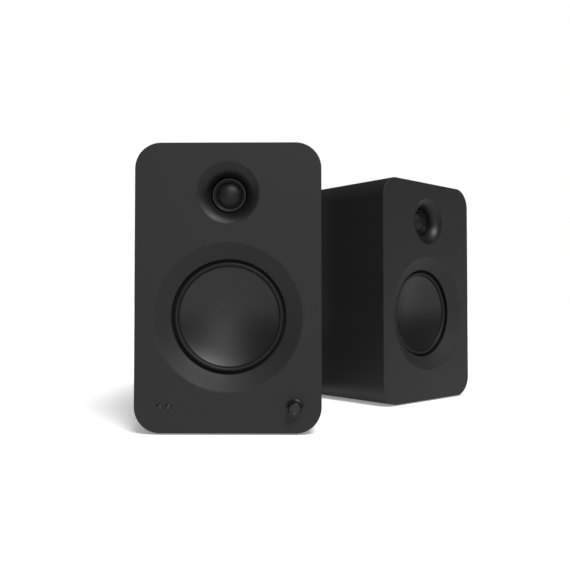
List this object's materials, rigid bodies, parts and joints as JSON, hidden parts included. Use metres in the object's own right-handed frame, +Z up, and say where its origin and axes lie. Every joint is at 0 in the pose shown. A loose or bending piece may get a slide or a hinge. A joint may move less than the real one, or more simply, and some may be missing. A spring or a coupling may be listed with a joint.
{
  "type": "desktop speakers",
  "caption": "Powered desktop speaker and its passive partner: matt black rounded boxes, each with a bevelled metal-cone woofer and a dome tweeter in a flared waveguide.",
  "frame": {"origin": "on the desk, under the middle of the box that holds both speakers", "axes": "+Z up, -Y the way the main speaker faces, +X its right-hand side as seen from the front"},
  "size_m": [0.3823, 0.4584, 0.2735],
  "materials": {
    "painted_box": "smooth matt black paint on fibreboard",
    "black_plastic": "fine moulded texture",
    "black_rubber": "soft satin rubber",
    "black_steel": "black oxide or powder coat",
    "dark_cone": "satin dark anodised",
    "coil_copper": "enamelled copper wire",
    "spider_cloth": "impregnated woven cloth",
    "zinc_steel": "zinc plated",
    "ferrite": "sintered, ground faces",
    "dark_trim": "satin dark anodised",
    "dome_silk": "coated silk",
    "gold_plate": "thin gold plating",
    "black_cap": "moulded, slightly glossy",
    "red_cap": "moulded, slightly glossy",
    "plate_paint": "black powder coat",
    "black_knob": "satin soft-touch",
    "board_green": "solder mask",
    "smoked_window": "smoked, polished"
  },
  "bodies": {
    "main": {"main_cabinet": "painted_box", "main_front_baffle": "painted_box", "main_back_board": "painted_box", "main_port_tube": "black_plastic", "main_feet": "black_rubber", "main_screws": "black_steel", "main_woofer_basket": "black_steel", "main_woofer_surround": "black_rubber", "main_woofer_spider": "spider_cloth", "main_woofer_pole_plates": "zinc_steel", "main_woofer_magnet": "ferrite", "main_tweeter_waveguide": "black_plastic", "main_tweeter_trim_ring": "dark_trim", "main_tweeter_motor": "zinc_steel", "main_binding_posts": "gold_plate", "main_amp_plate": "plate_paint", "main_control_board": "board_green", "main_front_windows": "smoked_window", "main_phono_jacks": "gold_plate", "main_aux_jack": "black_plastic", "main_optical_jack": "black_plastic", "main_mains_inlet": "black_plastic", "main_amp_board": "board_green", "main_power_supply": "board_green"},
    "satellite": {"satellite_cabinet": "painted_box", "satellite_front_baffle": "painted_box", "satellite_back_board": "painted_box", "satellite_port_tube": "black_plastic", "satellite_feet": "black_rubber", "satellite_screws": "black_steel", "satellite_woofer_basket": "black_steel", "satellite_woofer_surround": "black_rubber", "satellite_woofer_spider": "spider_cloth", "satellite_woofer_pole_plates": "zinc_steel", "satellite_woofer_magnet": "ferrite", "satellite_tweeter_waveguide": "black_plastic", "satellite_tweeter_trim_ring": "dark_trim", "satellite_tweeter_motor": "zinc_steel", "satellite_binding_posts": "gold_plate", "satellite_terminal_plate": "plate_paint", "satellite_crossover_board": "board_green"},
    "main_woofer_drive": {"main_woofer_cone": "dark_cone", "main_woofer_voice_coil": "coil_copper"},
    "main_tweeter_drive": {"main_tweeter_dome": "dome_silk"},
    "main_washer_black": {"main_post_washer_black": "gold_plate"},
    "main_cap_black": {"main_post_cap_black": "black_cap"},
    "main_washer_red": {"main_post_washer_red": "gold_plate"},
    "main_cap_red": {"main_post_cap_red": "red_cap"},
    "satellite_woofer_drive": {"satellite_woofer_cone": "dark_cone", "satellite_woofer_voice_coil": "coil_copper"},
    "satellite_tweeter_drive": {"satellite_tweeter_dome": "dome_silk"},
    "satellite_washer_black": {"satellite_post_washer_black": "gold_plate"},
    "satellite_cap_black": {"satellite_post_cap_black": "black_cap"},
    "satellite_washer_red": {"satellite_post_washer_red": "gold_plate"},
    "satellite_cap_red": {"satellite_post_cap_red": "red_cap"},
    "volume_plunger": {"main_encoder_plunger": "black_plastic"},
    "volume_knob": {"main_volume_knob": "black_knob", "main_encoder_shaft": "zinc_steel"},
    "power_rocker": {"main_power_rocker": "black_cap"},
    "optical_shutter": {"main_optical_shutter": "black_plastic"}
  },
  "joints": [
    {"name": "satellite_spacing", "type": "slide", "parent": "main", "child": "satellite", "axis": [1, 0, 0], "range_m": [0, 0.25]},
    {"name": "main_woofer_travel", "type": "slide", "parent": "main", "child": "main_woofer_drive", "axis": [0, -1, 0], "range_m": [-0.004, 0.004], "stiffness_N_per_m": 1200, "deforming": ["main_woofer_surround", "main_woofer_spider"]},
    {"name": "main_tweeter_travel", "type": "slide", "parent": "main", "child": "main_tweeter_drive", "axis": [0, -1, 0], "range_m": [-0.0003, 0.0003], "stiffness_N_per_m": 4000},
    {"name": "main_post_black_clamp", "type": "slide", "parent": "main", "child": "main_washer_black", "axis": [0, 1, 0], "range_m": [0, 0.004]},
    {"name": "main_post_black_turn", "type": "hinge", "parent": "main_washer_black", "child": "main_cap_black", "pos_m": [-0.07485, 0.02235, 0.0595], "axis": [0, 1, 0], "range_deg": [0, 1800]},
    {"name": "main_post_red_clamp", "type": "slide", "parent": "main", "child": "main_washer_red", "axis": [0, 1, 0], "range_m": [0, 0.004]},
    {"name": "main_post_red_turn", "type": "hinge", "parent": "main_washer_red", "child": "main_cap_red", "pos_m": [-0.0558, 0.02235, 0.0595], "axis": [0, 1, 0], "range_deg": [0, 1800]},
    {"name": "satellite_woofer_travel", "type": "slide", "parent": "satellite", "child": "satellite_woofer_drive", "axis": [0.6794, -0.7337, 0], "range_m": [-0.004, 0.004], "stiffness_N_per_m": 1200, "deforming": ["satellite_woofer_surround", "satellite_woofer_spider"]},
    {"name": "satellite_tweeter_travel", "type": "slide", "parent": "satellite", "child": "satellite_tweeter_drive", "axis": [0.6794, -0.7337, 0], "range_m": [-0.0003, 0.0003], "stiffness_N_per_m": 4000},
    {"name": "satellite_post_black_clamp", "type": "slide", "parent": "satellite", "child": "satellite_washer_black", "axis": [-0.6794, 0.7337, 0], "range_m": [0, 0.004]},
    {"name": "satellite_post_black_turn", "type": "hinge", "parent": "satellite_washer_black", "child": "satellite_cap_black", "pos_m": [-0.04426, 0.17203, 0.1035], "axis": [-0.6794, 0.7337, 0], "range_deg": [0, 1800]},
    {"name": "satellite_post_red_clamp", "type": "slide", "parent": "satellite", "child": "satellite_washer_red", "axis": [-0.6794, 0.7337, 0], "range_m": [0, 0.004]},
    {"name": "satellite_post_red_turn", "type": "hinge", "parent": "satellite_washer_red", "child": "satellite_cap_red", "pos_m": [-0.03029, 0.18498, 0.1035], "axis": [-0.6794, 0.7337, 0], "range_deg": [0, 1800]},
    {"name": "volume_press", "type": "slide", "parent": "main", "child": "volume_plunger", "axis": [0, 1, 0], "range_m": [0, 0.0005], "stiffness_N_per_m": 4000},
    {"name": "volume_turn", "type": "hinge", "parent": "volume_plunger", "child": "volume_knob", "pos_m": [-0.04125, -0.21965, 0.0254], "axis": [0, 1, 0], "continuous": true},
    {"name": "power_rock", "type": "hinge", "parent": "main", "child": "power_rocker", "pos_m": [-0.13985, 0.01185, 0.0725], "axis": [-1, 0, 0], "range_deg": [0, 16]},
    {"name": "optical_shutter_swing", "type": "hinge", "parent": "main", "child": "optical_shutter", "pos_m": [-0.13585, 0.01175, 0.1508], "axis": [-1, 0, 0], "range_deg": [0, 75], "stiffness_Nm_per_rad": 0.0005, "springref_deg": -11.46}
  ],
  "couplings": [
    {"joint": "main_post_black_turn", "follows": "main_post_black_clamp", "rad_per_m": 7854},
    {"joint": "main_post_red_turn", "follows": "main_post_red_clamp", "rad_per_m": 7854},
    {"joint": "satellite_post_black_turn", "follows": "satellite_post_black_clamp", "rad_per_m": 7854},
    {"joint": "satellite_post_red_turn", "follows": "satellite_post_red_clamp", "rad_per_m": 7854}
  ]
}
